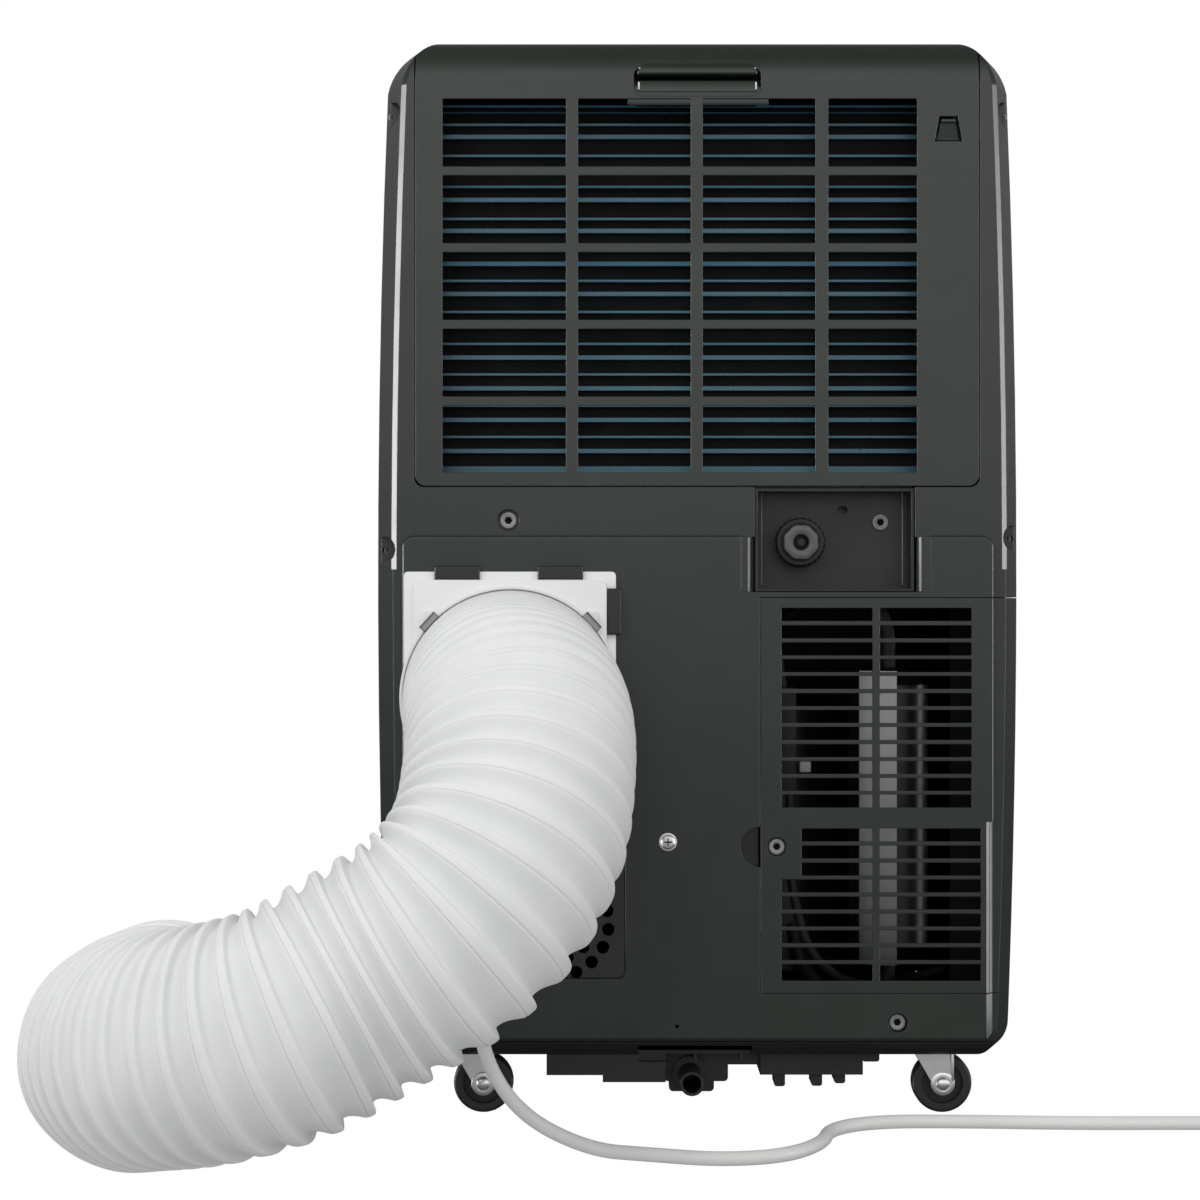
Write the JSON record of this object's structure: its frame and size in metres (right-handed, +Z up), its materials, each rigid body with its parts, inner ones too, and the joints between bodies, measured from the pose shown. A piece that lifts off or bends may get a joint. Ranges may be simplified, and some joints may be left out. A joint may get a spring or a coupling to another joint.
{
  "type": "portable air conditioner",
  "caption": "Floor-standing portable air conditioner on casters, with tilting rear filter cover, corrugated exhaust duct, drain fittings, air outlet louver and mains lead.",
  "frame": {"origin": "on the floor under the middle of the unit without its mains lead", "axes": "+Z up, front of the cabinet faces -Y, filter and exhaust port face +Y"},
  "size_m": [0.9883, 0.6925, 0.752],
  "materials": {
    "case": "fine-grained semi-gloss moulding",
    "case_dark": "dark moulded",
    "top": "satin",
    "panel_gloss": "gloss",
    "window": "smoked",
    "button": "satin",
    "filter_blue": "satin",
    "mesh": "fine net",
    "white_plastic": "satin",
    "duct": "soft polymer bellows",
    "cord": "smooth PVC",
    "zinc": "zinc plated",
    "chrome": "plated",
    "wheel": "hard rubber",
    "fins": "fine fins",
    "black_paint": "satin black",
    "copper": "drawn copper tube",
    "scroll": "grey moulding",
    "fan": "dark moulding",
    "motor": "grey",
    "grommet": "rubber"
  },
  "bodies": {
    "cabinet": {"base_pan": "case_dark", "front_shell": "case", "rear_shell": "case", "top_cover": "top", "control_panel": "panel_gloss", "display_window": "window", "drain_recess_panel": "case_dark", "vent_panel": "case_dark", "mid_deck": "scroll", "evaporator_coil": "fins", "room_air_scroll": "scroll", "room_fan_motor": "motor", "condenser_coil": "fins", "exhaust_scroll": "scroll", "exhaust_fan_motor": "motor", "compressor": "black_paint", "compressor_grommets": "grommet", "accumulator": "motor", "refrigerant_pipes": "copper", "electronics_box": "scroll", "drain_spout": "case_dark", "adapter_clips": "case_dark", "case_screws": "zinc", "earth_screw": "zinc", "cord_gland": "cord", "power_cord": "cord", "power_cord_coil": "cord", "power_plug": "cord"},
    "room_fan": {"room_fan_wheel": "fan"},
    "exhaust_fan": {"exhaust_fan_wheel": "fan"},
    "louver": {"louver_flap": "case"},
    "vane_1": {"vane_1": "case_dark"},
    "vane_2": {"vane_2": "case_dark"},
    "vane_3": {"vane_3": "case_dark"},
    "vane_4": {"vane_4": "case_dark"},
    "vane_link": {"vane_link": "case_dark"},
    "power_button": {"power_button": "button"},
    "mode_button": {"mode_button": "button"},
    "fan_button": {"fan_button": "button"},
    "timer_button": {"timer_button": "button"},
    "temp_rocker": {"temp_rocker": "button"},
    "filter_cover": {"filter_cover": "case", "filter_frame": "filter_blue", "filter_mesh": "mesh"},
    "filter_latch": {"filter_latch": "case"},
    "condenser_cover": {"condenser_cover": "case", "cover_screw": "zinc"},
    "drain_seal": {"drain_seal": "grommet"},
    "drain_cap": {"drain_cap": "case_dark"},
    "exhaust_adapter": {"duct_adapter": "white_plastic", "duct_hose": "duct", "duct_end_collar": "white_plastic"},
    "fork_rear_left": {"caster_fork_rear_left": "chrome"},
    "wheel_rear_left": {"caster_wheel_rear_left": "wheel"},
    "fork_rear_right": {"caster_fork_rear_right": "chrome"},
    "wheel_rear_right": {"caster_wheel_rear_right": "wheel"},
    "fork_front_left": {"caster_fork_front_left": "chrome"},
    "wheel_front_left": {"caster_wheel_front_left": "wheel"},
    "fork_front_right": {"caster_fork_front_right": "chrome"},
    "wheel_front_right": {"caster_wheel_front_right": "wheel"}
  },
  "joints": [
    {"name": "room_fan_spin", "type": "hinge", "parent": "cabinet", "child": "room_fan", "pos_m": [0, 0, 0.53], "axis": [0, 1, 0], "continuous": true},
    {"name": "exhaust_fan_spin", "type": "hinge", "parent": "cabinet", "child": "exhaust_fan", "pos_m": [0.12, 0.02, 0.25], "axis": [1, 0, 0], "continuous": true},
    {"name": "louver_swing", "type": "hinge", "parent": "cabinet", "child": "louver", "pos_m": [0, -0.1915, 0.655], "axis": [1, 0, 0], "range_deg": [0, 75]},
    {"name": "vane_1_turn", "type": "hinge", "parent": "cabinet", "child": "vane_1", "pos_m": [-0.105, -0.152, 0.684], "axis": [0, 0, 1], "range_deg": [-30, 30]},
    {"name": "vane_2_turn", "type": "hinge", "parent": "cabinet", "child": "vane_2", "pos_m": [-0.035, -0.152, 0.684], "axis": [0, 0, 1], "range_deg": [-30, 30]},
    {"name": "vane_3_turn", "type": "hinge", "parent": "cabinet", "child": "vane_3", "pos_m": [0.035, -0.152, 0.684], "axis": [0, 0, 1], "range_deg": [-30, 30]},
    {"name": "vane_4_turn", "type": "hinge", "parent": "cabinet", "child": "vane_4", "pos_m": [0.105, -0.152, 0.684], "axis": [0, 0, 1], "range_deg": [-30, 30]},
    {"name": "vane_link_pivot", "type": "hinge", "parent": "vane_2", "child": "vane_link", "pos_m": [-0.035, -0.17, 0.6875], "axis": [0, 0, 1], "range_deg": [-30, 30]},
    {"name": "power_button_press", "type": "slide", "parent": "cabinet", "child": "power_button", "axis": [0, 0, -1], "range_m": [0, 0.0012], "stiffness_N_per_m": 600, "springref_m": -0.001},
    {"name": "mode_button_press", "type": "slide", "parent": "cabinet", "child": "mode_button", "axis": [0, 0, -1], "range_m": [0, 0.0012], "stiffness_N_per_m": 600, "springref_m": -0.001},
    {"name": "fan_button_press", "type": "slide", "parent": "cabinet", "child": "fan_button", "axis": [0, 0, -1], "range_m": [0, 0.0012], "stiffness_N_per_m": 600, "springref_m": -0.001},
    {"name": "timer_button_press", "type": "slide", "parent": "cabinet", "child": "timer_button", "axis": [0, 0, -1], "range_m": [0, 0.0012], "stiffness_N_per_m": 600, "springref_m": -0.001},
    {"name": "temp_rocker_tilt", "type": "hinge", "parent": "cabinet", "child": "temp_rocker", "pos_m": [0, -0.139, 0.7436], "axis": [0, 1, 0], "range_deg": [-4, 4], "stiffness_Nm_per_rad": 0.4},
    {"name": "filter_cover_tilt", "type": "hinge", "parent": "cabinet", "child": "filter_cover", "pos_m": [0, 0.166, 0.4425], "axis": [-1, 0, 0], "range_deg": [0, 24]},
    {"name": "filter_latch_press", "type": "hinge", "parent": "filter_cover", "child": "filter_latch", "pos_m": [-0.1725, 0.1608, 0.6811], "axis": [1, 0, 0], "range_deg": [0, 6], "stiffness_Nm_per_rad": 0.05, "springref_deg": -5.73},
    {"name": "condenser_cover_pull", "type": "slide", "parent": "cabinet", "child": "condenser_cover", "axis": [0, 1, 0], "range_m": [0, 0.06]},
    {"name": "drain_seal_slide", "type": "slide", "parent": "cabinet", "child": "drain_seal", "axis": [0, 1, 0], "range_m": [0, 0.0091]},
    {"name": "drain_cap_turn", "type": "hinge", "parent": "drain_seal", "child": "drain_cap", "pos_m": [-0.0707, 0.15, 0.402], "axis": [0, 1, 0], "range_deg": [0, 1080]},
    {"name": "exhaust_adapter_slide", "type": "slide", "parent": "cabinet", "child": "exhaust_adapter", "axis": [1, 0, 0], "range_m": [0, 0.13]},
    {"name": "swivel_rear_left", "type": "hinge", "parent": "cabinet", "child": "fork_rear_left", "pos_m": [0.162, 0.118, 0.05], "axis": [0, 0, 1], "continuous": true},
    {"name": "roll_rear_left", "type": "hinge", "parent": "fork_rear_left", "child": "wheel_rear_left", "pos_m": [0.151, 0.118, 0.021], "axis": [0, 1, 0], "continuous": true},
    {"name": "swivel_rear_right", "type": "hinge", "parent": "cabinet", "child": "fork_rear_right", "pos_m": [-0.162, 0.118, 0.05], "axis": [0, 0, 1], "continuous": true},
    {"name": "roll_rear_right", "type": "hinge", "parent": "fork_rear_right", "child": "wheel_rear_right", "pos_m": [-0.173, 0.118, 0.021], "axis": [0, 1, 0], "continuous": true},
    {"name": "swivel_front_left", "type": "hinge", "parent": "cabinet", "child": "fork_front_left", "pos_m": [0.162, -0.148, 0.05], "axis": [0, 0, 1], "continuous": true},
    {"name": "roll_front_left", "type": "hinge", "parent": "fork_front_left", "child": "wheel_front_left", "pos_m": [0.151, -0.148, 0.021], "axis": [0, 1, 0], "continuous": true},
    {"name": "swivel_front_right", "type": "hinge", "parent": "cabinet", "child": "fork_front_right", "pos_m": [-0.162, -0.148, 0.05], "axis": [0, 0, 1], "continuous": true},
    {"name": "roll_front_right", "type": "hinge", "parent": "fork_front_right", "child": "wheel_front_right", "pos_m": [-0.173, -0.148, 0.021], "axis": [0, 1, 0], "continuous": true}
  ],
  "couplings": [
    {"joint": "vane_1_turn", "follows": "vane_2_turn", "ratio": 1},
    {"joint": "vane_3_turn", "follows": "vane_2_turn", "ratio": 1},
    {"joint": "vane_4_turn", "follows": "vane_2_turn", "ratio": 1},
    {"joint": "vane_link_pivot", "follows": "vane_2_turn", "ratio": -1},
    {"joint": "drain_seal_slide", "follows": "drain_cap_turn", "m_per_rad": 0.00047746}
  ]
}
